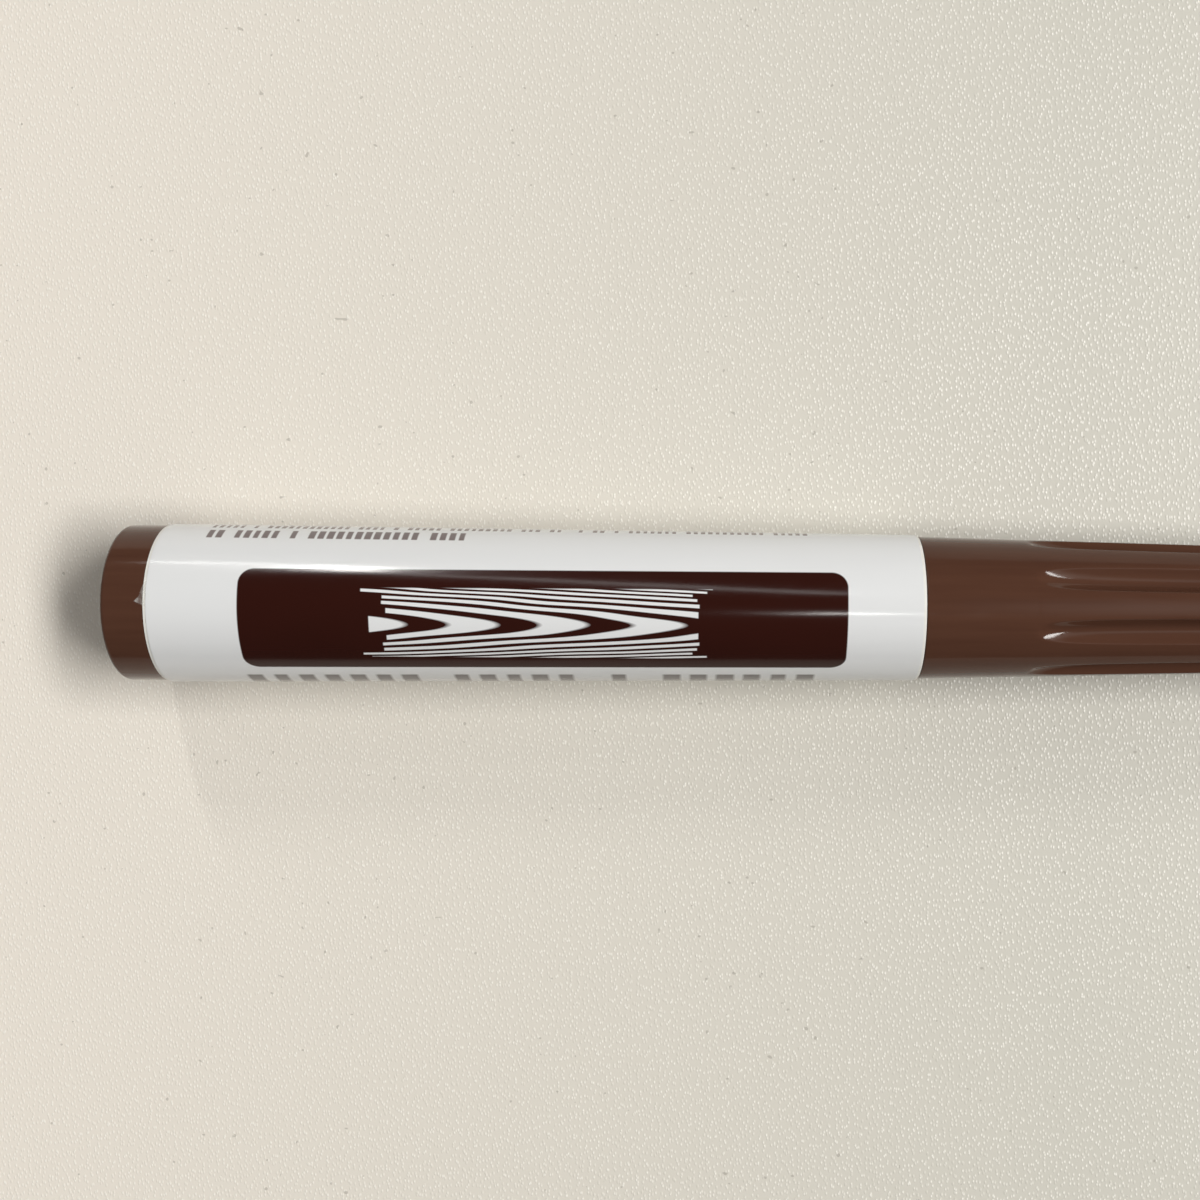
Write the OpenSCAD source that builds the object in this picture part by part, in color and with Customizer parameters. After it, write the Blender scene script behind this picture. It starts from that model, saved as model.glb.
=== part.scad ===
// Furniture touch-up marker with a fibre ink reservoir and a push-on fluted cap.
// It lies along +X with its tail face at the origin; +Z is up.

/* [Barrel] */
// Outside diameter of the barrel at its rear end
barrel_rear_d = 15.8; // [15:0.1:18]
// Outside diameter of the barrel at the shoulder
barrel_front_d = 13.96; // [13.8:0.02:15]
// Length of the barrel from its rear end to the shoulder
barrel_len = 74; // [50:1:110]
// Thickness of the barrel wall
barrel_wall = 1.2; // [1:0.05:1.4]
// Rounding of the shoulder's outer edge
shoulder_round = 0.16; // [0.05:0.01:0.3]
// Thickness of the web behind the shoulder, which the reservoir seats on
web_t = 3; // [2:0.5:6]
// Length of the neck that the cap slides over
neck_len = 10; // [8:0.5:14]
// Thickness of the neck's wall
neck_wall = 1.1; // [0.9:0.05:1.3]
// Bevel on the neck's front edge
neck_bevel = 0.3; // [0.1:0.05:0.5]
// Distance from the shoulder to the middle of the grip ring
grip_from_shoulder = 2.5; // [2:0.1:5]
// Width of the grip ring on the neck
grip_w = 1.4; // [0.8:0.1:2]
// Height of the grip ring above the neck
grip_h = 0.1; // [0.05:0.01:0.2]
// Number of ribs that centre the reservoir
rib_count = 6; // [3:1:8]
// Width of each rib
rib_w = 0.8; // [0.5:0.1:1.2]
// Height of a rib at the front of the bore
rib_h = 0.4; // [0.2:0.05:0.6]

/* [Tail plug] */
// Step from the barrel's outside down to the collar
collar_step = 0.09; // [0.02:0.01:0.3]
// Length of the collar
collar_len = 4.42; // [2.5:0.02:8]
// Rounding of the collar's outer rim
collar_round = 0.5; // [0.2:0.05:1]
// Thickness of the plug's end wall
plug_end_wall = 1.6; // [1:0.1:2.2]
// Length of the skirt that is pressed into the barrel
skirt_len = 8; // [6:0.5:12]
// Thickness of the skirt's wall
skirt_wall = 1.1; // [0.8:0.1:1.5]
// Bevel on the skirt's leading edge
skirt_bevel = 0.4; // [0.2:0.05:0.6]
// Distance from the collar to the middle of the snap bead
bead_from_collar = 4; // [2:0.1:5]
// Height of the snap bead
bead_h = 0.2; // [0.1:0.02:0.3]
// Width of the snap bead at its foot
bead_w = 1.2; // [0.8:0.1:1.6]
// Thickness of the crossed fins inside the plug
fin_t = 1; // [0.8:0.1:1.5]
// How far the fins stand out of the skirt toward the reservoir
fin_out = 1.5; // [0.5:0.1:4]

/* [Ink reservoir] */
// Thickness of the film around the fibre core
wrap_t = 0.1; // [0.06:0.01:0.2]
// Outside diameter of the breather tube
breather_d = 1.2; // [1:0.05:1.6]
// Thickness of the breather tube's wall
breather_wall = 0.25; // [0.15:0.01:0.3]
// How far the breather tube lies inside the core's surface
breather_cover = 0.2; // [0.1:0.05:0.4]

/* [Nose] */
// Length of the sleeve that is pressed into the neck
sleeve_len = 11; // [8:0.5:12]
// Thickness of the sleeve's wall
sleeve_wall = 0.9; // [0.6:0.05:1]
// Thickness of the flange that stops on the neck
flange_t = 1; // [0.6:0.1:2]
// How far the flange's edge stays inside the neck's outside
flange_inset = 0.4; // [0.1:0.05:0.6]
// Length of the land that the cap's inner cup seals on
land_len = 6; // [4:0.5:8]
// Length of the tapered tip
tip_len = 2.5; // [1.5:0.1:4]
// Wall around the nib at the end of the tip
tip_wall = 0.7; // [0.5:0.05:0.9]
// Number of air grooves along the nib's bore
vent_count = 4; // [2:1:6]
// Width of each air groove
vent_w = 0.6; // [0.4:0.05:0.8]
// Depth of each air groove
vent_depth = 0.25; // [0.15:0.05:0.4]

/* [Nib] */
// Diameter of the nib
nib_d = 4.5; // [4:0.1:4.8]
// How far the nib stands out of the tip
nib_out = 6; // [4:0.5:7]
// Length of the straight part that stands out of the tip
nib_straight = 1.2; // [0.5:0.1:2]
// Length of the point that feeds from the core
wick_len = 3; // [2:0.5:5]
// Diameter of the flat at the end of that point
wick_end_d = 1.4; // [0.8:0.1:2]
// How deep the nib is set in the core
nib_dip = 8; // [6:0.5:14]

/* [Cap] */
// Length of the cap
cap_len = 45; // [42:0.5:60]
// Step from the shoulder's outside down to the cap's open end
lip_step = 0.09; // [0.02:0.01:0.2]
// Outside diameter of the cap at its closed end
cap_end_d = 11.36; // [11.2:0.02:12.4]
// Thickness of the cap's wall over the neck
cap_wall = 1.05; // [0.9:0.01:1.15]
// Thickness of the cap's closed end
cap_end_wall = 1.6; // [1.2:0.1:2.4]
// Rounding of the closed end's edge
cap_end_round = 0.8; // [0.3:0.05:1]
// Rounding of the open end's outer edge
lip_round = 0.15; // [0.05:0.01:0.3]
// Bevel inside the open end
lip_bevel = 0.3; // [0.1:0.05:0.4]
// Thinnest wall left under a flute at the closed end
flute_floor = 0.8; // [0.6:0.05:1]
// Number of flutes
flute_count = 8; // [5:1:9]
// Width of a flute
flute_w = 2.5; // [1.8:0.05:3]
// Depth of a flute
flute_depth = 0.5; // [0.4:0.02:0.6]
// Distance from the open end to the flutes' points
flute_start = 10.3; // [9:0.1:16]
// Length over which a flute deepens
flute_run = 3.5; // [2:0.1:6]
// Turn of the cap on the barrel, in degrees
cap_turn = 4.4; // [-22:0.1:22]
// Thickness of the crossed ribs behind the inner cup
stop_t = 0.9; // [0.6:0.1:1.4]

/* [Cap inner cup] */
// Length of the inner cup
cup_len = 23; // [21:0.5:26]
// Thickness of the inner cup's wall
cup_wall = 0.6; // [0.5:0.05:0.7]
// Bevel inside the inner cup's mouth
cup_bevel = 0.25; // [0.1:0.05:0.4]

/* [Label] */
// Thickness of the label film
label_t = 0.08; // [0.05:0.01:0.15]
// Bare barrel left at each end of the label
label_margin = 0.3; // [0.2:0.05:2]
// Width of the gap left between the label's ends
seam_w = 1.6; // [0.2:0.05:3]
// Turn of that gap from the lowest line, in degrees
seam_turn = 0; // [0:1:60]

/* [Fits] */
// Gap under the label, taken by its adhesive
glue_gap = 0.01; // [0.005:0.001:0.02]
// Radial gap of pieces that are pressed together
press_gap = 0.02; // [0.01:0.005:0.04]
// Radial gap of the cap on the neck and on the nose
slide_gap = 0.05; // [0.02:0.01:0.1]
// Gap between faces that stop against each other
seat_gap = 0.03; // [0.01:0.01:0.1]
// Radial gap between the ribs and the reservoir
rib_gap = 0.1; // [0.05:0.01:0.2]
// Gap between the cap's inner slope and the nose's flange
slope_gap = 0.3; // [0.2:0.05:0.6]

/* [Hidden] */
$fn = 96;
arc_steps = 6;
bullet_steps = 12;

rear_z = collar_len;
shoulder_z = rear_z + barrel_len;
neck_z1 = shoulder_z + neck_len;
web_z0 = shoulder_z - web_t;
skirt_z1 = rear_z + skirt_len;
seat_z1 = skirt_z1 + seat_gap;

function barrel_r(z) = (barrel_rear_d + (barrel_front_d - barrel_rear_d) * (z - rear_z) / barrel_len) / 2;
function bore_r(z) = barrel_r(z) - barrel_wall;
seat_r = bore_r(rear_z);
skirt_r = seat_r - press_gap;

collar_d = barrel_rear_d - 2 * collar_step;
cap_lip_d = barrel_front_d - 2 * lip_step;
cap_bore_r = cap_lip_d / 2 - cap_wall;
grip_r = cap_bore_r - slide_gap;
neck_r = grip_r - grip_h;
neck_bore_r = neck_r - neck_wall;

wrap_r = bore_r(web_z0) - rib_h - rib_gap;
core_r = wrap_r - wrap_t - press_gap;
core_z0 = skirt_z1 + fin_out + seat_gap;
core_z1 = web_z0 - seat_gap;
breather_at = core_r - breather_cover - breather_d / 2;

nib_r = nib_d / 2;
sleeve_r = neck_bore_r - press_gap;
sleeve_bore_r = sleeve_r - sleeve_wall;
sleeve_z0 = neck_z1 - sleeve_len;
flange_z0 = neck_z1 + seat_gap;
flange_z1 = flange_z0 + flange_t;
flange_r = neck_r - flange_inset;

upper_bore_r = cap_end_d / 2 - flute_depth - flute_floor;
cup_r = upper_bore_r - press_gap;
cup_bore_r = cup_r - cup_wall;
land_r = cup_bore_r - slide_gap;
land_z0 = flange_z1 + flange_r - land_r;
land_z1 = land_z0 + land_len;
tip_z1 = land_z1 + tip_len;
tip_r = nib_r + tip_wall;
nib_z1 = tip_z1 + nib_out;
nib_z0 = core_z1 - nib_dip;
nib_bullet_z = tip_z1 + nib_straight;

cap_z0 = shoulder_z + seat_gap;
cap_z1 = cap_z0 + cap_len;
cap_taper = atan((cap_lip_d - cap_end_d) / 2 / cap_len);
slope_z0 = flange_z1 + slope_gap;
slope_z1 = slope_z0 + cap_bore_r - upper_bore_r;
cup_z0 = slope_z1 + slope_gap;
cup_z1 = cup_z0 + cup_len;
cavity_z1 = cap_z1 - cap_end_wall;

function cap_r(z) = (cap_lip_d + (cap_end_d - cap_lip_d) * (z - cap_z0) / cap_len) / 2;
flute_z0 = cap_z0 + flute_start;
flute_land_r = cap_r(flute_z0 + flute_run);
flute_sagitta = flute_land_r - sqrt(flute_land_r * flute_land_r - flute_w * flute_w / 4);
flute_chord_depth = flute_depth - flute_sagitta;
flute_r = (flute_w * flute_w / 4 + flute_chord_depth * flute_chord_depth) / (2 * flute_chord_depth);

label_z0 = rear_z + label_margin;
label_z1 = shoulder_z - label_margin;
label_in = glue_gap;
label_out = glue_gap + label_t;

// Points of an arc, from one angle to the other
function arc(centre, radius, from, to) =
    [for (i = [0 : arc_steps])
        let (a = from + (to - from) * i / arc_steps)
        centre + radius * [cos(a), sin(a)]];

// Lays a piece that is drawn standing on its tail along +X
module lie() {
    rotate([0, 90, 0])
        children();
}

// Turns a profile of radius and height about the marker's axis
module turned(profile) {
    rotate_extrude()
        polygon(profile);
}

// A plain tube
module tube(outer_r, inner_r, z0, z1) {
    turned([[inner_r, z0], [outer_r, z0], [outer_r, z1], [inner_r, z1]]);
}

// The snap bead, or its groove when it is drawn with a gap
module snap_bead(gap) {
    z = rear_z + bead_from_collar;
    foot_r = skirt_r - skirt_wall / 2;
    turned([[foot_r, z - bead_w / 2 - gap],
            [skirt_r, z - bead_w / 2 - gap],
            [skirt_r + bead_h + gap, z - bead_w / 4 - gap],
            [skirt_r + bead_h + gap, z + bead_w / 4 + gap],
            [skirt_r, z + bead_w / 2 + gap],
            [foot_r, z + bead_w / 2 + gap]]);
}

module barrel_ribs() {
    rib_z0 = core_z0;
    intersection() {
        for (i = [0 : rib_count - 1])
            rotate([0, 0, i * 360 / rib_count])
                translate([wrap_r + rib_gap, -rib_w / 2, rib_z0])
                    cube([barrel_rear_d, rib_w, web_z0 + web_t / 2 - rib_z0]);
        turned([[0, rear_z],
                [bore_r(rear_z) + barrel_wall / 2, rear_z],
                [bore_r(shoulder_z) + barrel_wall / 2, shoulder_z],
                [0, shoulder_z]]);
    }
}

module barrel_body() {
    front_r = barrel_r(shoulder_z);
    grip_z = shoulder_z + grip_from_shoulder;
    turned(concat(
        [[barrel_r(rear_z), rear_z]],
        arc([front_r - shoulder_round, shoulder_z - shoulder_round], shoulder_round, 0, 90),
        [[neck_r, shoulder_z],
         [neck_r, grip_z - grip_w / 2],
         [grip_r, grip_z - grip_w / 4],
         [grip_r, grip_z + grip_w / 4],
         [neck_r, grip_z + grip_w / 2],
         [neck_r, neck_z1 - neck_bevel],
         [neck_r - neck_bevel, neck_z1],
         [neck_bore_r, neck_z1],
         [neck_bore_r, web_z0],
         [bore_r(web_z0), web_z0],
         [bore_r(seat_z1), seat_z1],
         [seat_r, seat_z1],
         [seat_r, rear_z]]));
}

module barrel() {
    color("#e4e3e0")
        lie()
            union() {
                difference() {
                    barrel_body();
                    snap_bead(press_gap);
                }
                barrel_ribs();
            }
}

module label() {
    color("#efeeea")
        lie()
            difference() {
                turned([[barrel_r(label_z0) + label_in, label_z0],
                        [barrel_r(label_z0) + label_out, label_z0],
                        [barrel_r(label_z1) + label_out, label_z1],
                        [barrel_r(label_z1) + label_in, label_z1]]);
                rotate([0, 0, seam_turn])
                    translate([0, -seam_w / 2, rear_z])
                        cube([barrel_rear_d, seam_w, barrel_len]);
            }
}

module plug_fins() {
    fin_w = 2 * (skirt_r - skirt_wall) + skirt_wall;
    for (a = [0, 90])
        rotate([0, 0, a])
            translate([-fin_w / 2, -fin_t / 2, plug_end_wall / 2])
                cube([fin_w, fin_t, skirt_z1 - skirt_bevel - plug_end_wall / 2]);
    tip_w = 2 * (skirt_r - skirt_wall);
    for (a = [0, 90])
        rotate([0, 0, a])
            translate([-tip_w / 2, -fin_t / 2, plug_end_wall / 2])
                cube([tip_w, fin_t, skirt_z1 + fin_out - plug_end_wall / 2]);
}

module tail_plug() {
    color("#54372a")
        lie()
            union() {
                turned(concat(
                    [[0, 0]],
                    arc([collar_d / 2 - collar_round, collar_round], collar_round, -90, 0),
                    [[collar_d / 2, rear_z],
                     [skirt_r, rear_z],
                     [skirt_r, skirt_z1 - skirt_bevel],
                     [skirt_r - skirt_bevel, skirt_z1],
                     [skirt_r - skirt_wall, skirt_z1],
                     [skirt_r - skirt_wall, plug_end_wall],
                     [0, plug_end_wall]]));
                snap_bead(0);
                plug_fins();
            }
}

module ink_reservoir() {
    socket_r = nib_r + press_gap;
    color("#6b4a36")
        lie()
            difference() {
                turned([[0, core_z0], [core_r, core_z0], [core_r, core_z1], [0, core_z1]]);
                turned([[0, nib_z0 - seat_gap],
                        [wick_end_d / 2 + press_gap, nib_z0 - seat_gap],
                        [socket_r, nib_z0 + wick_len - seat_gap],
                        [socket_r, shoulder_z],
                        [0, shoulder_z]]);
                translate([0, breather_at, core_z0 - seat_gap])
                    cylinder(h = core_z1 - core_z0 + 2 * seat_gap, d = breather_d + 2 * press_gap);
                translate([-breather_d / 2, breather_at, core_z0 - seat_gap])
                    cube([breather_d, core_r, core_z1 - core_z0 + 2 * seat_gap]);
            }
}

module reservoir_wrap() {
    color("#d8d3c8")
        lie()
            tube(wrap_r, wrap_r - wrap_t, core_z0, core_z1);
}

module breather_tube() {
    color("#f0ede4")
        lie()
            translate([0, breather_at, 0])
                tube(breather_d / 2, breather_d / 2 - breather_wall, core_z0, core_z1);
}

module nose() {
    bore_step_z = neck_z1;
    color("#dedcd6")
        lie()
            difference() {
                turned([[sleeve_bore_r, sleeve_z0],
                        [sleeve_r, sleeve_z0],
                        [sleeve_r, flange_z0],
                        [flange_r, flange_z0],
                        [flange_r, flange_z1],
                        [land_r, land_z0],
                        [land_r, land_z1],
                        [tip_r, tip_z1],
                        [nib_r + press_gap, tip_z1],
                        [nib_r + press_gap, bore_step_z],
                        [sleeve_bore_r, bore_step_z]]);
                for (i = [0 : vent_count - 1])
                    rotate([0, 0, i * 360 / vent_count])
                        translate([0, -vent_w / 2, sleeve_z0])
                            cube([nib_r + vent_depth, vent_w, tip_z1 - sleeve_z0 + tip_len]);
            }
}

module nib() {
    bullet_len = nib_out - nib_straight;
    color("#3a2219")
        lie()
            turned(concat(
                [[0, nib_z0],
                 [wick_end_d / 2, nib_z0],
                 [nib_r, nib_z0 + wick_len]],
                [for (i = [0 : bullet_steps])
                    let (a = 90 * i / bullet_steps)
                    [nib_r * cos(a), nib_bullet_z + bullet_len * sin(a)]]));
}

// The round-ended tool that cuts one flute and leaves a ramp at its point
module flute_cutter() {
    reach = cap_len + cap_end_wall;
    ramp = flute_depth / flute_run;
    turned([[0, -flute_run],
            [flute_r - flute_depth - ramp * flute_run, -flute_run],
            [flute_r, flute_run],
            [flute_r, reach],
            [0, reach]]);
}

module cap_outside() {
    turned(concat(
        [[0, cap_z0]],
        arc([cap_r(cap_z0) - lip_round, cap_z0 + lip_round], lip_round, -90, 0),
        arc([cap_r(cap_z1) - cap_end_round, cap_z1 - cap_end_round], cap_end_round, 0, 90),
        [[0, cap_z1]]));
}

module cap_cavity() {
    turned([[0, cap_z0 - seat_gap],
            [cap_bore_r + lip_bevel + seat_gap, cap_z0 - seat_gap],
            [cap_bore_r, cap_z0 + lip_bevel],
            [cap_bore_r, slope_z0],
            [upper_bore_r, slope_z1],
            [upper_bore_r, cavity_z1],
            [0, cavity_z1]]);
}

module cup_stops() {
    stop_z0 = cup_z1 + seat_gap;
    stop_len = cavity_z1 + cap_end_wall / 2 - stop_z0;
    stop_w = 2 * upper_bore_r + flute_floor;
    for (a = [0, 90])
        rotate([0, 0, a])
            translate([-stop_w / 2, -stop_t / 2, stop_z0])
                cube([stop_w, stop_t, stop_len]);
}

module cap_shell() {
    pitch = 360 / flute_count;
    first = 180 - pitch / 2 - cap_turn;
    color("#4f3428")
        lie()
            union() {
                difference() {
                    cap_outside();
                    cap_cavity();
                    for (i = [0 : flute_count - 1])
                        rotate([0, 0, first + i * pitch])
                            translate([cap_r(flute_z0) - flute_depth + flute_r, 0, flute_z0])
                                rotate([0, -cap_taper, 0])
                                    flute_cutter();
                }
                cup_stops();
            }
}

module cap_inner_cup() {
    color("#e9e6de")
        lie()
            turned([[cup_bore_r + cup_bevel, cup_z0],
                    [cup_r, cup_z0],
                    [cup_r, cup_z1],
                    [0, cup_z1],
                    [0, cup_z1 - cup_wall],
                    [cup_bore_r, cup_z1 - cup_wall],
                    [cup_bore_r, cup_z0 + cup_bevel]]);
}

barrel();
label();
tail_plug();
ink_reservoir();
reservoir_wrap();
breather_tube();
nose();
nib();
cap_shell();
cap_inner_cup();
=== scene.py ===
# The looks of a furniture touch-up marker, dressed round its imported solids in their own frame.
import math

import bmesh
import bpy
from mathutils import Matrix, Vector, noise


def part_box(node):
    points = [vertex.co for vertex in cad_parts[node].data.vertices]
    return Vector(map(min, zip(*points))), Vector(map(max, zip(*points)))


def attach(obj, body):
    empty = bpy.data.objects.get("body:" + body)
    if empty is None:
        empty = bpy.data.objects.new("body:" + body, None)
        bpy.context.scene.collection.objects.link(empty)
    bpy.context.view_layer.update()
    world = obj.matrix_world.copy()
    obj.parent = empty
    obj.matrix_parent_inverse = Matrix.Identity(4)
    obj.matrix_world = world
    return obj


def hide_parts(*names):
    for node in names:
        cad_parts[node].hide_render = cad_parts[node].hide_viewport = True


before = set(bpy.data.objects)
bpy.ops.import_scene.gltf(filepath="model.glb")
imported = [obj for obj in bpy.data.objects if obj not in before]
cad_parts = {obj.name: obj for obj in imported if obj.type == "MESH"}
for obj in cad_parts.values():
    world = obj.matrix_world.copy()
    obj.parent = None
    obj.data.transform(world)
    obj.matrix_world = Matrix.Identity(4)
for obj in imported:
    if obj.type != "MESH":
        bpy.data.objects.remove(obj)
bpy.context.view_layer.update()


# Barrel: a tapered tube of white polypropylene, moulded in one shot with its neck and grip ring.
# The label hides all of it but two narrow rims. With the cap off, the neck and its ring show.
MM = 0.001


def feed(node, sockets):
    """Sets sockets of a node to plain values, or links them where a Value is given."""
    for name, given in sockets.items():
        if isinstance(given, Value):
            node.id_data.links.new(given.socket, node.inputs[name])
        else:
            node.inputs[name].default_value = given


class Value:
    """A shader socket that stands in Python expressions; each operator adds a Math node."""

    def __init__(self, socket):
        self.socket = socket

    def node(self, kind, settings, sockets, output=0):
        """Adds a node of any kind beside this socket: its settings first, then its sockets."""
        made = self.socket.id_data.nodes.new(kind)
        for name, setting in settings.items():
            setattr(made, name, setting)
        feed(made, sockets)
        return Value(made.outputs[output])

    def math(self, operation, other=0.0):
        return self.node("ShaderNodeMath", {"operation": operation}, {0: self, 1: other})

    def reflected(self, operation, other):
        return self.node("ShaderNodeMath", {"operation": operation}, {0: other, 1: self})

    def __add__(self, other):
        return self.math("ADD", other)

    def __radd__(self, other):
        return self.math("ADD", other)

    def __sub__(self, other):
        return self.math("SUBTRACT", other)

    def __rsub__(self, other):
        return self.reflected("SUBTRACT", other)

    def __mul__(self, other):
        return self.math("MULTIPLY", other)

    def __rmul__(self, other):
        return self.math("MULTIPLY", other)

    def __truediv__(self, other):
        return self.math("DIVIDE", other)

    def __rtruediv__(self, other):
        return self.reflected("DIVIDE", other)

    def __abs__(self):
        return self.math("ABSOLUTE")

    def ramp(self, low, high):
        """0 where this value is low, 1 where it is high, and even in between."""
        return self.node(
            "ShaderNodeMapRange", {"clamp": True}, {"Value": self, "From Min": low, "From Max": high}
        )

    def between(self, low, high):
        """The colour low where this value is 0, going to the colour high where it is 1."""
        return self.node(
            "ShaderNodeMix", {"data_type": "RGBA"}, {0: self, 6: low, 7: high}, output=2
        )


def srgb(*levels):
    """A shader colour from the red, green and blue levels of a picture, 0 to 255."""
    steps = [level / 255 for level in levels]
    return (*[s / 12.92 if s <= 0.04045 else ((s + 0.055) / 1.055) ** 2.4 for s in steps], 1.0)


def new_finish(name, **plain):
    """A material of one Principled shader with plain values, its shader, and the place in mm."""
    material = bpy.data.materials.new(name)
    material.use_nodes = True
    nodes = material.node_tree.nodes
    shader = nodes["Principled BSDF"]
    feed(shader, {socket.replace("_", " "): given for socket, given in plain.items()})
    metres = Value(nodes.new("ShaderNodeTexCoord").outputs["Object"])
    place = metres.node("ShaderNodeVectorMath", {"operation": "SCALE"}, {0: metres, "Scale": 1 / MM})
    return material, shader, place


def grain(place, stretch, per_mm, detail=3.0):
    """Soft noise with so many features to the millimetre, drawn out by a stretch in X, Y and Z."""
    drawn = place.node("ShaderNodeVectorMath", {"operation": "DIVIDE"}, {0: place, 1: stretch})
    return place.node(
        "ShaderNodeTexNoise", {}, {"Vector": drawn, "Scale": per_mm, "Detail": detail}
    )


def bumped(height, depth):
    """The normal of a surface that rises by so many millimetres where height is 1."""
    return height.node("ShaderNodeBump", {}, {"Height": height, "Distance": depth * MM})


def moulded(name, colour, shade, roughness, streak):
    """A moulded plastic: flow streaks along the part, a fine skin and duller handled patches."""
    material, shader, place = new_finish(name, IOR=1.49, Specular_IOR_Level=0.27)
    flow = grain(place, (14, 1, 1), streak)
    skin = grain(place, (3, 1, 1), 3.0, 2.0)
    handled = grain(place, (2, 1, 1), 0.3, 2.0)
    feed(shader, {
        "Base Color": flow.ramp(0.3, 0.7).between(shade, colour),
        "Roughness": roughness + 0.06 * (skin - 0.5) + 0.10 * handled.ramp(0.5, 0.8),
        "Normal": bumped(skin, 0.0015),
    })
    return material


def wear(piece, material):
    """Puts one material on a piece, in place of any that it has."""
    piece.data.materials.clear()
    piece.data.materials.append(material)


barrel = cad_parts["barrel"]
white_plastic = moulded("white_plastic", srgb(231, 230, 226), srgb(224, 222, 216), 0.24, 0.7)
wear(barrel, white_plastic)


# Ink core: bonded polyester fibre soaked with stain, in a film sheath, with a thin tube beside it
# that lets air in behind the stain. The three are pushed into the barrel as one cartridge and
# stay out of sight, so their solids keep their own shapes.
def fibre(name, colour, shade, strands_per_mm, relief):
    """Fibres that lie along the marker, with darker gaps between them."""
    material, shader, place = new_finish(name, Roughness=0.92, Specular_IOR_Level=0.15)
    strands = grain(place, (9, 1, 1), strands_per_mm, 4.0)
    clumps = grain(place, (3, 1, 1), 0.5 * strands_per_mm, 1.0)
    feed(shader, {
        "Base Color": (0.7 * strands + 0.3 * clumps).ramp(0.38, 0.62).between(shade, colour),
        "Normal": bumped(strands, relief),
    })
    return material


def clear_film(name, alpha):
    """Thin clear film with faint pulled streaks and scuffed, less clear patches."""
    material, shader, place = new_finish(name, IOR=1.5, Roughness=0.12)
    streaks = grain(place, (1, 5, 5), 1.8)
    feed(shader, {
        "Base Color": streaks.between(srgb(236, 234, 228), srgb(250, 249, 246)),
        "Alpha": alpha + 0.3 * streaks.ramp(0.45, 0.8),
        "Normal": bumped(streaks, 0.01),
    })
    return material


natural_plastic = moulded("natural_plastic", srgb(228, 225, 214), srgb(219, 214, 200), 0.38, 0.5)
stained_fibre = fibre("stained_fibre", srgb(98, 58, 38), srgb(62, 33, 20), 5, 0.05)
wear(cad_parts["ink_reservoir"], stained_fibre)
wear(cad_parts["reservoir_wrap"], clear_film("clear_film", 0.45))
wear(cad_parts["breather_tube"], natural_plastic)


# Tail plug: brown polypropylene, moulded with a hollow skirt and crossed fins, then snapped into
# the barrel's rear end over a bead. Only its collar shows, with a round rim and, on the flat end,
# a shallow dimple round the stub that the mould's gate leaves.
AROUND = 192
ARC_STEPS = 6
CROSSED = (0, math.pi / 2)


def rounded(corners):
    """The outline through corners of (x, radius, rounding), with an arc at each rounded one."""
    outline = []
    for i, (x, r, rounding) in enumerate(corners):
        here = Vector((x, r))
        if not rounding:
            outline.append(here)
            continue
        before = (Vector(corners[i - 1][:2]) - here).normalized()
        after = (Vector(corners[(i + 1) % len(corners)][:2]) - here).normalized()
        half = before.angle(after) / 2
        centre = here + (before + after).normalized() * rounding / math.sin(half)
        start = here + before * rounding / math.tan(half) - centre
        end = here + after * rounding / math.tan(half) - centre
        sweep = start.angle(end)
        for k in range(ARC_STEPS + 1):
            share = k / ARC_STEPS
            swung = start * math.sin((1 - share) * sweep) + end * math.sin(share * sweep)
            outline.append(centre + swung / math.sin(sweep))
    return outline


def solid(name, verts, faces):
    """A new piece from points in mm and faces, with its faces outward and its edges tidy."""
    mesh = bpy.data.meshes.new(name)
    mesh.from_pydata([Vector(v) * MM for v in verts], [], faces)
    made = bmesh.new()
    made.from_mesh(mesh)
    bmesh.ops.recalc_face_normals(made, faces=made.faces)
    made.to_mesh(mesh)
    made.free()
    piece = bpy.data.objects.new(name, mesh)
    bpy.context.scene.collection.objects.link(piece)
    return piece


def lofted(name, rings, closed):
    """A piece whose skin joins each ring of points to the next; a ring of one point is a tip."""
    verts = [point for ring in rings for point in ring]
    firsts = [sum(len(ring) for ring in rings[:i]) for i in range(len(rings))]
    around = max(len(ring) for ring in rings)
    pairs = list(zip(range(len(rings)), range(1, len(rings))))
    if closed:
        pairs.append((len(rings) - 1, 0))
    faces = []
    for a, b in pairs:
        for k in range(around):
            n = (k + 1) % around
            corners = [
                firsts[a] + k % len(rings[a]),
                firsts[a] + n % len(rings[a]),
                firsts[b] + n % len(rings[b]),
                firsts[b] + k % len(rings[b]),
            ]
            faces.append(list(dict.fromkeys(corners)))
    return solid(name, verts, faces)


def on_axis(x, r, turn):
    """The point at a place along the axis, a radius, and a turn from the top toward +Y."""
    return Vector((x, r * math.sin(turn), r * math.cos(turn)))


def turned(name, outline):
    """A piece turned about the marker's axis; an outline that starts on the axis also ends there."""
    turns = [2 * math.pi * k / AROUND for k in range(AROUND)]
    rings = [[on_axis(x, r, a) for a in turns] if r > 0 else [Vector((x, 0, 0))] for x, r in outline]
    return lofted(name, rings, closed=outline[0][1] > 0)


def block(x0, x1, width, thickness, turn):
    """A plain bar across the axis, to be joined to a piece or cut from it."""
    half_w = width / 2
    half_t = thickness / 2
    verts = []
    for x in (x0, x1):
        for w, t in ((-half_w, -half_t), (half_w, -half_t), (half_w, half_t), (-half_w, half_t)):
            y = w * math.cos(turn) - t * math.sin(turn)
            z = w * math.sin(turn) + t * math.cos(turn)
            verts.append((x, y, z))
    sides = [(i, (i + 1) % 4, (i + 1) % 4 + 4, i + 4) for i in range(4)]
    return solid("tool", verts, [(0, 1, 2, 3), (7, 6, 5, 4), *sides])


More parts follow.
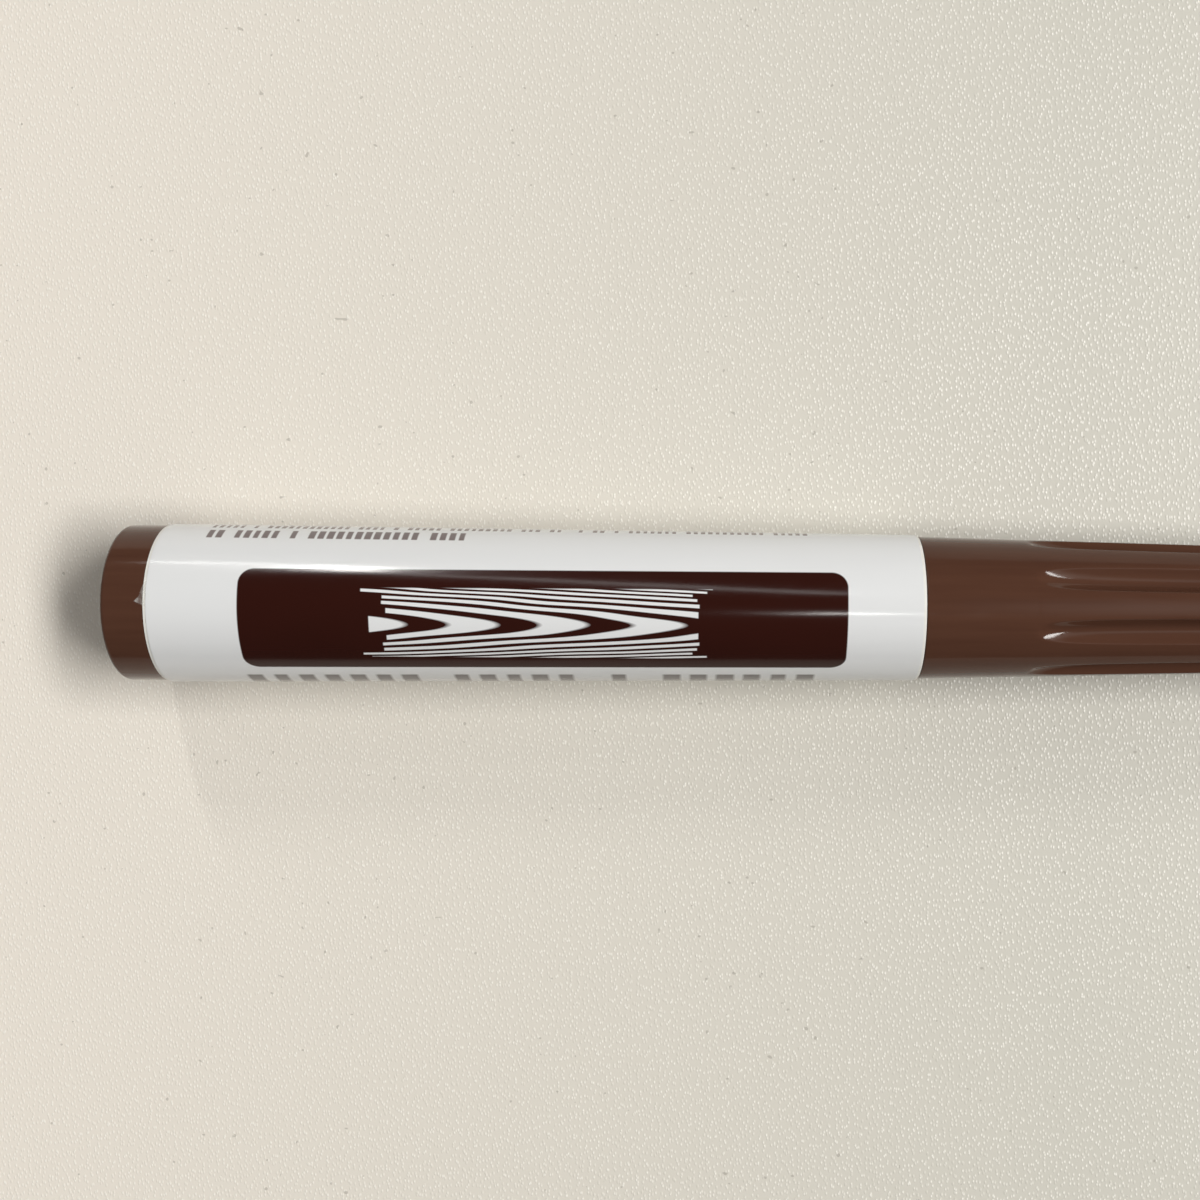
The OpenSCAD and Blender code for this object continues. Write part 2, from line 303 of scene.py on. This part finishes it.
def carved(piece, operation, tool):
    """Joins a tool to a piece, or cuts it out, and throws the tool away."""
    change = piece.modifiers.new("carve", "BOOLEAN")
    change.operation = operation
    change.solver = "EXACT"
    change.object = tool
    seen = piece.evaluated_get(bpy.context.evaluated_depsgraph_get())
    mesh = bpy.data.meshes.new_from_object(seen)
    piece.modifiers.remove(change)
    piece.data = mesh
    bpy.data.objects.remove(tool)


def settle(piece, material, body, node):
    """Gives a finished piece smooth shading, its material and its place in the assembly."""
    piece.data.shade_smooth()
    piece.data.set_sharp_from_angle(angle=math.radians(40))
    even = piece.modifiers.new("even_shading", "WEIGHTED_NORMAL")
    even.keep_sharp = True
    wear(piece, material)
    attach(piece, body)
    if node:
        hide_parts(node)


def span(node):
    """Where a solid starts and ends along the axis, and its greatest radius, in mm."""
    low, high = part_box(node)
    return low.x / MM, high.x / MM, high.y / MM


barrel_x0, neck_x1, barrel_rear_r = span("barrel")
plug_x0, plug_x1, collar_r = span("tail_plug")
fin_out = 1.5
fin_t = 1.0
fin_step = 0.5
barrel_wall_and_gap = 1.22
skirt_wall = 1.1
skirt_x1 = plug_x1 - fin_out
skirt_r = barrel_rear_r - barrel_wall_and_gap
skirt_bore_r = skirt_r - skirt_wall
plug_floor = 1.6
weld = 0.5
bead_x = barrel_x0 + 4.0
bead_r = skirt_r + 0.2
dimple_r = 1.9
dimple_depth = 0.35
gate_r = 0.7
gate_depth = 0.16
tail_plug = turned("tail_plug_shell", [
    Vector((gate_depth, 0)),
    *rounded([
        (gate_depth, gate_r, 0.05),
        (dimple_depth, gate_r + 0.1, 0.05),
        (dimple_depth, dimple_r - 0.3, 0.1),
        (plug_x0, dimple_r, 0.12),
        (plug_x0, collar_r, 0.5),
        (barrel_x0, collar_r, 0.06),
        (barrel_x0, skirt_r, 0),
        (bead_x - 0.6, skirt_r, 0),
        (bead_x - 0.3, bead_r, 0.1),
        (bead_x + 0.3, bead_r, 0.1),
        (bead_x + 0.6, skirt_r, 0),
        (skirt_x1, skirt_r, 0.3),
        (skirt_x1, skirt_bore_r, 0.1),
        (plug_floor, skirt_bore_r, 0.3),
        (plug_floor, 0.5, 0),
    ]),
    Vector((plug_floor, 0)),
])
fin_x0 = plug_floor - weld
fin_root_w = 2 * skirt_bore_r + 0.8
for turn in CROSSED:
    carved(tail_plug, "UNION", block(fin_x0, plug_x1, 2 * skirt_bore_r, fin_t, turn))
    carved(tail_plug, "UNION", block(fin_x0, skirt_x1 - fin_step, fin_root_w, fin_t, turn))
brown_plastic = moulded("brown_plastic", srgb(85, 56, 43), srgb(78, 50, 38), 0.09, 0.8)
settle(tail_plug, brown_plastic, "marker", "tail_plug")


# Nose: natural polyethylene, pressed into the neck until its flange stops. It grips the nib, and
# four grooves along its bore let air past. The cap's inner cup seals on its straight land.
sleeve_x0, tip_x1, flange_r = span("nose")
nib_x0, nib_x1, nib_r = span("nib")
seat_gap = 0.03
press_gap = 0.02
flange_t = 1.0
sleeve_wall = 0.9
tip_wall = 0.7
tip_bevel = 2.5
flange_x0 = neck_x1 + seat_gap
flange_x1 = flange_x0 + flange_t
sleeve_r = 4.57
sleeve_bore_r = sleeve_r - sleeve_wall
land_r = 3.71
land_x0 = flange_x1 + flange_r - land_r
land_x1 = tip_x1 - tip_bevel
tip_r = nib_r + tip_wall
bore_r = nib_r + press_gap
nose = turned("nose_piece", rounded([
    (sleeve_x0, sleeve_bore_r, 0.1),
    (sleeve_x0, sleeve_r, 0.25),
    (flange_x0, sleeve_r, 0),
    (flange_x0, flange_r, 0.12),
    (flange_x1, flange_r, 0.15),
    (land_x0, land_r, 0.3),
    (land_x1, land_r, 0.3),
    (tip_x1, tip_r, 0.2),
    (tip_x1, bore_r, 0.08),
    (neck_x1, bore_r, 0),
    (neck_x1, sleeve_bore_r, 0.1),
]))
vent_depth = 0.25
vent_w = 0.6
overcut = 1
vent_span = 2 * (nib_r + vent_depth)
for turn in CROSSED:
    vents = block(sleeve_x0 - overcut, tip_x1 + overcut, vent_span, vent_w, turn)
    carved(nose, "DIFFERENCE", vents)
settle(nose, natural_plastic, "marker", "nose")


# Nib: pressed polyester felt with a bullet tip, soaked dark by the stain. It is pushed through
# the nose, and its rear point stands in the ink core. Use has roughened the tip a little.
bullet_len = 4.8
bullet_x = nib_x1 - bullet_len
bullet_steps = 28
wick_len = 3.0
wick_x = nib_x0 + wick_len
wick_end_r = 0.7
fuzz = 0.03
nib_outline = [(nib_x0, 0), (nib_x0, wick_end_r), (wick_x, nib_r)]
straight_steps = 40
for k in range(1, straight_steps):
    nib_outline.append((wick_x + (bullet_x - wick_x) * k / straight_steps, nib_r))
for k in range(bullet_steps):
    swing = math.pi / 2 * k / bullet_steps
    nib_outline.append((bullet_x + (nib_x1 - bullet_x) * math.sin(swing), nib_r * math.cos(swing)))
nib_outline.append((nib_x1, 0))
nib = turned("nib_felt_tip", nib_outline)
for vertex in nib.data.vertices:
    spot = vertex.co / MM
    ruffle = 0.5 + 0.5 * noise.noise(Vector((spot.x * 1.2, spot.y * 5, spot.z * 5)))
    out = Vector((0, spot.y, spot.z))
    if spot.x > tip_x1 and out.length > fuzz:
        vertex.co -= out.normalized() * fuzz * ruffle * MM
nib_felt = fibre("nib_felt", srgb(66, 36, 26), srgb(36, 18, 13), 7, 0.06)
settle(nib, nib_felt, "marker", "nib")


# Label: glossy printed film, wrapped round the barrel and stuck down. Its ends don't quite meet
# and leave a narrow gap underneath, which the marker rests on. The print is a dark panel with
# generic wood figure, a row of grey blocks below it, and rows of fine bars above and behind.
label_x0, label_x1, label_r0 = span("label")
barrel_front_r = 6.98
cap_x0, cap_solid_x1, cap_lip_r = span("cap_shell")
shoulder_x = cap_x0 - seat_gap
film_t = 0.08
seam_w = 1.6
label_rows = 49
label_columns = 180
wave = 0.010


def barrel_r(x):
    """The barrel's outside radius at a place along the axis."""
    share = (x - barrel_x0) / (shoulder_x - barrel_x0)
    return barrel_rear_r + (barrel_front_r - barrel_rear_r) * share


def film_point(x, across, lift):
    """A point of the film: across runs from one side of the gap round to the other."""
    r = barrel_r(x) + lift
    half_gap = math.asin(seam_w / 2 / r)
    turn = math.pi + half_gap + across * 2 * (math.pi - half_gap)
    return on_axis(x, r, turn)


film_lift = label_r0 - barrel_r(label_x0)
sections = []
for c in range(label_columns + 1):
    across = c / label_columns
    around = 2 * math.pi * across
    section = []
    for i in range(label_rows):
        x = label_x0 + (label_x1 - label_x0) * i / (label_rows - 1)
        sway = noise.noise(Vector((0.13 * x, 9 * math.cos(around), 9 * math.sin(around))))
        section.append(film_point(x, across, film_lift - wave * (0.5 + 0.5 * sway)))
    for i in reversed(range(label_rows)):
        x = label_x0 + (label_x1 - label_x0) * i / (label_rows - 1)
        section.append(film_point(x, across, film_lift - film_t))
    sections.append(section)
loop = len(sections[0])
label_faces = [list(range(loop)), [label_columns * loop + i for i in range(loop)]]
for c in range(label_columns):
    for i in range(loop):
        n = (i + 1) % loop
        label_faces.append((c * loop + i, c * loop + n, (c + 1) * loop + n, (c + 1) * loop + i))
label = solid("label_film_wrap", [p for section in sections for p in section], label_faces)

label_finish, label_shader, film_place = new_finish("label_film", IOR=1.5, Specular_IOR_Level=0.4)
along = film_place.node("ShaderNodeSeparateXYZ", {}, {0: film_place})
side = Value(along.socket.node.outputs[1])
height = Value(along.socket.node.outputs[2])
radius = (side * side + height * height).math("SQRT")
arc = side.math("ARCTAN2", height) * radius


def box_distance(x, y, half_x, half_y, corner):
    """How far a place is outside a rectangle with round corners; it is negative inside."""
    over_x = abs(x) - half_x + corner
    over_y = abs(y) - half_y + corner
    out_x = over_x.math("MAXIMUM", 0.0)
    out_y = over_y.math("MAXIMUM", 0.0)
    outside = (out_x * out_x + out_y * out_y).math("SQRT")
    return outside + over_x.math("MAXIMUM", over_y).math("MINIMUM", 0.0) - corner


def inked(distance, soft=0.05):
    """1 inside an outline and 0 outside it, with the soft edge of print."""
    return distance.ramp(soft, -soft)


panel_x0 = 13.58
panel_x1 = 71.2
panel_corner = 1.5
panel_half = (panel_x1 - panel_x0) / 2
panel_mid_x = panel_x0 + panel_half
panel_share = (along - panel_x0) / (panel_x1 - panel_x0)
panel_top = 3.70 - 0.14 * panel_share
panel_low = 0.46 * panel_share - 6.87
panel_y = arc - 0.5 * (panel_top + panel_low)
panel_half_y = 0.5 * (panel_top - panel_low)
panel = inked(box_distance(along - panel_mid_x, panel_y, panel_half, panel_half_y, panel_corner))


def drawn_lot(number):
    """A number from 0 to 1, drawn anew for each whole number."""
    return number.node("ShaderNodeTexWhiteNoise", {"noise_dimensions": "1D"}, {"W": number})


# Wood figure in the panel: nested arches of grain, as on a board sawn lengthwise from a log
figure_mid_x = 41.8
figure_half_x = 13.8
ragged = 3.2
figure_half_y = 3.5
arch_step = 9.0
line_step = 1.35
heart_round = 0.2
figure_x = along - figure_mid_x
figure_y = arc + 1.7
figure_sway = grain(film_place, (8, 1, 1), 0.45, 1.0) - 0.5
from_heart = (figure_y * figure_y + heart_round).math("SQRT") + 0.8 * figure_sway
arches = figure_x / arch_step + (from_heart / line_step).math("POWER", 1.7)
arch = arches.math("FLOOR")
lines = abs(arches.math("FRACT") - 0.5).ramp(0.30, 0.22)
ends = inked(abs(figure_x) - figure_half_x - ragged * drawn_lot(2 * arch + figure_x.math("SIGN")))
motif = lines * ends * inked(abs(figure_y) - figure_half_y)

taper = (along - label_x0) / (label_x1 - label_x0)
print_arc = arc * (1 + 0.10 * taper)


def dashes(x0, x1, arc_low, arc_high, step, bar, gaps):
    """A row of whole upright bars on the label, with some left out as gaps."""
    x0 = step * math.ceil(x0 / step)
    x1 = step * math.floor(x1 / step)
    cell = (along / step).math("FLOOR")
    within = (along / step).math("FRACT")
    luck = drawn_lot(cell)
    half = 0.5 * bar - 0.12 * luck
    bars = (half - abs(within - 0.5)).ramp(-0.06, 0.06) * luck.math("GREATER_THAN", gaps)
    mid_x = (x0 + x1) / 2
    mid_arc = (arc_low + arc_high) / 2
    in_length = inked(abs(along - mid_x) - (x1 - x0) / 2)
    in_height = inked(abs(print_arc - mid_arc) - (arc_high - arc_low) / 2)
    return bars * in_length * in_height


rows_x0 = 9.0
rows_arc = 10.1
row_pitch = 2.2
row_height = 1.2
fine_bars = dashes(rows_x0, 35.0, 7.75, 9.35, 0.92, 0.78, 0.14)
for row, last_x in enumerate((69.0, 66.0, 70.5, 62.0, 48.0)):
    low_arc = rows_arc + row_pitch * row
    bars = dashes(rows_x0, last_x, low_arc, low_arc + row_height, 0.7 + 0.01 * row, 0.7, 0.18)
    fine_bars = fine_bars.math("MAXIMUM", bars)
grey_blocks = dashes(12.7, 69.6, -11.6, -8.45, 2.55, 0.74, 0.12)

white_film = srgb(229, 230, 231)
film_tone = grain(film_place, (3, 1, 1), 0.25, 2.0)
paper = film_tone.between(srgb(226, 227, 228), white_film)
paper = (0.9 * grey_blocks).between(paper, srgb(98, 90, 89))
paper = (0.9 * fine_bars).between(paper, srgb(92, 72, 72))
brown = film_tone.between(srgb(50, 19, 13), srgb(45, 17, 11))
paper = panel.between(paper, brown)
paper = (panel * motif).between(paper, white_film)
film_skin = grain(film_place, (4, 1, 1), 1.2, 2.0)
feed(label_shader, {
    "Base Color": paper,
    "Roughness": 0.14 + 0.05 * (film_skin - 0.5),
    "Normal": bumped(film_skin, 0.0015),
})
settle(label, label_finish, "marker", "label")


# Torn film: a scrap of the label's clear overlay that was left behind when it was trimmed. It
# stands off the label's rear edge and points over the joint onto the collar.
scrap_lift = 0.02
scrap_t = 0.015
scrap_root_x = 4.9
scrap_edge = [
    (scrap_root_x, 2.6), (4.45, 2.2), (4.2, 1.6), (4.05, 1.1), (3.9, 0.75),
    (3.5, 0.38), (4.0, 0.15), (4.4, -0.02), (scrap_root_x, -0.3),
]
scrap_rows = 6
scrap_rings = []
for x_tip, arc_mm in scrap_edge:
    ring = []
    for k in range(scrap_rows + 1):
        x = scrap_root_x + (x_tip - scrap_root_x) * k / scrap_rows
        fold = 0.02 * math.sin(3.1 * arc_mm + 2.0 * x)
        r = max(collar_r, barrel_r(x) if x > barrel_x0 else collar_r) + scrap_lift + fold
        ring.append(on_axis(x, min(r, label_r0 - 0.03), arc_mm / barrel_rear_r))
    scrap_rings.append(ring)
scrap_verts = [p for ring in scrap_rings for p in ring]
wide = scrap_rows + 1
scrap_faces = []
for i in range(len(scrap_edge) - 1):
    for k in range(scrap_rows):
        scrap_faces.append((i * wide + k, i * wide + k + 1, (i + 1) * wide + k + 1, (i + 1) * wide + k))
scrap = solid("label_torn_film", scrap_verts, scrap_faces)
thick = scrap.modifiers.new("thickness", "SOLIDIFY")
thick.thickness = scrap_t * MM
thick.offset = 0
settle(scrap, clear_film("torn_film", 0.06), "marker", None)


# Inner cup: soft natural polyethylene, pressed to the cap's crossed stops. It closes on the
# nose's land when the cap is pushed on, so that the nib stays wet.
cup_x0, cup_x1, cup_r = span("cap_inner_cup")
cup_wall = 0.6
cup_bevel = 0.25
cup_bore_r = cup_r - cup_wall
inner_cup = turned("inner_cup_seal", [
    Vector((cup_x1, 0)),
    *rounded([
        (cup_x1, cup_r, 0.3),
        (cup_x0, cup_r, 0.08),
        (cup_x0, cup_bore_r + cup_bevel, 0.08),
        (cup_x0 + cup_bevel, cup_bore_r, 0.1),
        (cup_x1 - cup_wall, cup_bore_r, 0.3),
        (cup_x1 - cup_wall, 0.5, 0),
    ]),
    Vector((cup_x1 - cup_wall, 0)),
])
settle(inner_cup, natural_plastic, "cap", "cap_inner_cup")


# Cap: brown polypropylene, pushed over the neck. A plain band comes first, then eight flutes that
# start in soft points and run out through the closed end. Crossed stops inside hold the cup.
cap_x1 = cap_solid_x1 - 0.002  # a hair short, so that rounding can't take it past the solid
cap_end_r = 5.68
cap_end_t = 1.6
cap_bore_r = 5.84
lip_bevel = 0.3
stop_t = 0.9
upper_bore_r = cup_r + press_gap
slope_x0 = flange_x1 + 0.3
slope_x1 = slope_x0 + cap_bore_r - upper_bore_r
cavity_x1 = cap_x1 - cap_end_t
end_round = 0.8
flute_count = 8
flute_w = 2.5
flute_depth = 0.95
flute_x = cap_x0 + 10.2
flute_sink = 3.0
flute_blunt = 0.3
least_deep = 0.004
edge_soft = 0.07
pitch = 2 * math.pi / flute_count
first_flute = pitch / 2 + math.radians(4.8)


def cap_r(x):
    """The cap's outside radius between its flutes."""
    return cap_lip_r + (cap_end_r - cap_lip_r) * (x - cap_x0) / (cap_x1 - cap_x0)


def soft_least(a, b, soft):
    """The lesser of two numbers, with the corner between them rounded off."""
    return (a + b - math.hypot(a - b, soft)) / 2


def flute_deep(x):
    """How deep a flute is at this place: from its point it sinks ever more gently."""
    return flute_depth * (1 - math.exp((flute_x - x) / flute_sink))


def flute_half(x):
    """Half of the angle that a flute takes at this place, and a little where there is none."""
    share = max(flute_deep(x), least_deep) / flute_depth
    return flute_w / 2 * share ** flute_blunt / cap_r(x)


def fluted(x, r, off):
    """A radius of the cap's outside with a hollow flute cut in, off to one side by an angle."""
    deep = flute_deep(x)
    hollow = r - deep + max(deep, least_deep) * (off / flute_half(x)) ** 2
    return soft_least(r, hollow, edge_soft)


in_flute = [0.0, 0.06, 0.13, 0.22, 0.34, 0.5, 0.68, 0.82, 0.9, 0.96]
on_land = [0.02, 0.05, 0.09, 0.15, 0.24, 0.36, 0.5, 0.68, 0.86]


def flute_turns(x):
    """The turns at which a ring of the cap has points, closest together along the flutes' edges."""
    half = flute_half(x)
    one_side = [s * half for s in in_flute] + [half + s * (pitch / 2 - half) for s in on_land]
    offs = [-a for a in reversed(one_side[1:])] + one_side + [pitch / 2]
    return [(first_flute + i * pitch + a, a) for i in range(flute_count) for a in offs]


def spaced(start, end, count):
    """So many places from start to end, evenly apart."""
    return [start + (end - start) * k / (count - 1) for k in range(count)]


def cap_ring(x, r, outside):
    """One ring of the cap, with the flutes cut in where it lies outside."""
    seat = max(x, flute_x)
    return [on_axis(x, fluted(x, r, off) if outside else r, turn) for turn, off in flute_turns(seat)]


cap_outline = rounded([
    (cavity_x1, 0.5, 0),
    (cavity_x1, upper_bore_r, 0.3),
    (slope_x1, upper_bore_r, 0.2),
    (slope_x0, cap_bore_r, 0.2),
    (cap_x0 + lip_bevel, cap_bore_r, 0.1),
    (cap_x0, cap_bore_r + lip_bevel, 0.06),
    (cap_x0, cap_lip_r, 0.15),
    (cap_x1, cap_end_r, end_round),
    (cap_x1, 0.5, 0),
])
lip_end = len(cap_outline) - ARC_STEPS - 3  # the last point of the lip's outer arc
outside_x = spaced(cap_x0 + 1.5, flute_x - 1.0, 4)
outside_x += spaced(flute_x - 0.4, flute_x + 5.0, 44)
outside_x += spaced(flute_x + 5.6, cap_x1 - 2.0, 16)
rings = [[Vector((cavity_x1, 0, 0))]]
rings += [cap_ring(x, r, False) for x, r in cap_outline[: lip_end + 1]]
rings += [cap_ring(x, cap_r(x), True) for x in outside_x]
rings += [cap_ring(x, r, True) for x, r in cap_outline[lip_end + 1 : -1]]
end_edge = rings[-1]
for share in (0.93, 0.8, 0.5, 0.2):
    rings.append([Vector((cap_x1, share * p.y, share * p.z)) for p in end_edge])
rings.append([Vector((cap_x1, 0, 0))])
cap = lofted("cap_fluted_shell", rings, closed=False)
stop_w = 2 * upper_bore_r + 0.6
for turn in CROSSED:
    carved(cap, "UNION", block(cup_x1 + seat_gap, cavity_x1 + weld, stop_w, stop_t, turn))
settle(cap, brown_plastic, "cap", "cap_shell")


# Table top: pale laminate with a fine pebbled skin, which the marker lies on. It rises with the
# barrel's taper, so that the label's whole lower line touches it, and eases to level under the
# cap, which leaves room to draw the cap off. Its colour holds painted light: painted shade that
# darkens it towards the right, and painted glints on its pebble tops.
floor_rise = (barrel_rear_r - barrel_front_r) / (shoulder_x - barrel_x0)
rest_depth = math.sqrt(label_r0 ** 2 - (seam_w / 2) ** 2)
floor_half = 850
easing = 10


def floor_z(x):
    """The table top's height at a place along the axis."""
    eased = min(max(x - label_x1, 0), easing)
    run = min(x, label_x1) - label_x0 + eased - eased ** 2 / (2 * easing)
    return floor_rise * run - rest_depth


floor_x = [-floor_half, *spaced(label_x1, label_x1 + easing, 9), floor_half]
floor_verts = [Vector((x, y, floor_z(x))) * MM for x in floor_x for y in (-floor_half, floor_half)]
floor_faces = [(2 * i, 2 * i + 2, 2 * i + 3, 2 * i + 1) for i in range(len(floor_x) - 1)]
floor_mesh = bpy.data.meshes.new("table_top")
floor_mesh.from_pydata(floor_verts, [], floor_faces)
floor_mesh.shade_smooth()
floor = bpy.data.objects.new("table_top", floor_mesh)
bpy.context.scene.collection.objects.link(floor)
floor_finish, floor_shader, floor_place = new_finish("laminate", IOR=1.5, Specular_IOR_Level=0.24)
pebble_place = floor_place.node(
    "ShaderNodeVectorMath", {"operation": "DIVIDE"}, {0: floor_place, 1: (0.9, 1.6, 1)}
)
from_pebble = pebble_place.node(
    "ShaderNodeTexVoronoi",
    {"voronoi_dimensions": "2D"},
    {"Vector": pebble_place, "Scale": 2.3, "Randomness": 1.0},
)
pebbles = from_pebble.node(
    "ShaderNodeMapRange",
    {"interpolation_type": "SMOOTHSTEP"},
    {"Value": from_pebble, "From Min": 0.4, "From Max": 0.0},
)
ripple = grain(floor_place, (1, 1.3, 1), 3.2, 2.0)
specks = grain(floor_place, (1, 1, 1), 1.6, 0.0)
# Painted shade: the base colour darkens towards the right, where less light falls.
rightward = floor_place.node("ShaderNodeSeparateXYZ", {}, {0: floor_place}).ramp(-45, 95)
painted_falloff_base = rightward.between(srgb(246, 238, 227), srgb(208, 205, 195))
# Painted glints: the pebble tops are painted near white where the lamps would glint on them.
painted_glints = 0.75 * pebbles.ramp(0.3, 0.9) * ripple.ramp(0.35, 0.6)
laminate = painted_glints.between(painted_falloff_base, srgb(255, 252, 245))
feed(floor_shader, {
    "Base Color": (0.35 * specks.ramp(0.83, 0.86)).between(laminate, srgb(120, 112, 100)),
    "Roughness": 0.29 + 0.08 * ripple,
    "Normal": bumped(0.1 * ripple + pebbles, 0.03),
})
wear(floor, floor_finish)


# Room light: a dim ceiling with one soft panel on the right, which gives the flutes their bright
# points, and a thin row of tubes that runs away behind the marker and gives the label its streak.
# The pale room shows behind the marker, and low down in its gloss.
world = bpy.data.worlds.new("room")
world.use_nodes = True
bpy.context.scene.world = world
sky = world.node_tree.nodes["Background"]
toward = Value(world.node_tree.nodes.new("ShaderNodeTexCoord").outputs["Generated"])
to_right = toward.node("ShaderNodeSeparateXYZ", {}, {0: toward})
to_back = Value(to_right.socket.node.outputs[1])
upward = Value(to_right.socket.node.outputs[2])
rays = world.node_tree.nodes.new("ShaderNodeLightPath").outputs
mirrored = Value(rays["Is Glossy Ray"]).math("MAXIMUM", Value(rays["Is Transmission Ray"]))
seen = Value(rays["Is Camera Ray"]).math("MAXIMUM", mirrored * upward.ramp(0.05, 0.0))
patch_x = to_right.ramp(0.22, 0.34) * to_right.ramp(0.62, 0.5)
pale_patch = patch_x * abs(to_back - 0.06).ramp(0.3, 0.06)
dim_dome = pale_patch.between((0.055, 0.054, 0.052, 1), (0.9, 0.88, 0.84, 1))
dome = to_right.ramp(-0.42, -0.8).between(dim_dome, (0.16, 0.155, 0.15, 1))
walls = upward.ramp(0.0, 0.2).between(srgb(202, 196, 186), srgb(226, 221, 210))
feed(sky, {"Color": seen.between(dome, walls)})


def ceiling_lamp(name, start, end, width, radiance):
    """A lamp that faces down between two points of the ceiling in metres."""
    start = Vector((*start, ceiling))
    end = Vector((*end, ceiling))
    lamp = bpy.data.lights.new(name, "AREA")
    lamp.shape = "RECTANGLE"
    lamp.size = (end - start).length
    lamp.size_y = width
    lamp.energy = radiance * math.pi * lamp.size * width
    lamp.color = (1.0, 0.99, 0.965)
    hung = bpy.data.objects.new(name, lamp)
    hung.location = (start + end) / 2
    hung.rotation_euler = (0, 0, math.atan2(end.y - start.y, end.x - start.x))
    bpy.context.scene.collection.objects.link(hung)


ceiling = 1.5
ceiling_lamp("panel", (1.29, -0.52), (1.29, 0.72), 0.42, 30)
ceiling_lamp("tubes_near", (0.29, 0.58), (-0.5, 1.75), 0.04, 8)
ceiling_lamp("tubes_far", (-0.5, 1.75), (-0.72, 2.5), 0.05, 140)
ceiling_lamp("window", (-0.9, 2.6), (-1.25, 2.95), 0.3, 10)
ceiling_lamp("tubes_left", (-1.1, 1.28), (-1.6, 1.3), 0.03, 50)
ceiling_lamp("tube_end", (0.235, -0.21), (0.31, -0.21), 0.035, 70)


# Camera: held over the middle of the marker and looking almost straight down.
camera = bpy.data.cameras.new("photo_camera")
camera.sensor_width = 36.0
camera.lens = 41.305
camera.clip_start = 0.01
holder = bpy.data.objects.new("photo_camera", camera)
holder.location = Vector((57.59, 4.42, 135.70)) * MM
holder.rotation_euler = (math.radians(-1.614), math.radians(4.204), math.radians(0.249))
bpy.context.scene.collection.objects.link(holder)
bpy.context.scene.camera = holder
bpy.context.scene.view_settings.view_transform = "Standard"
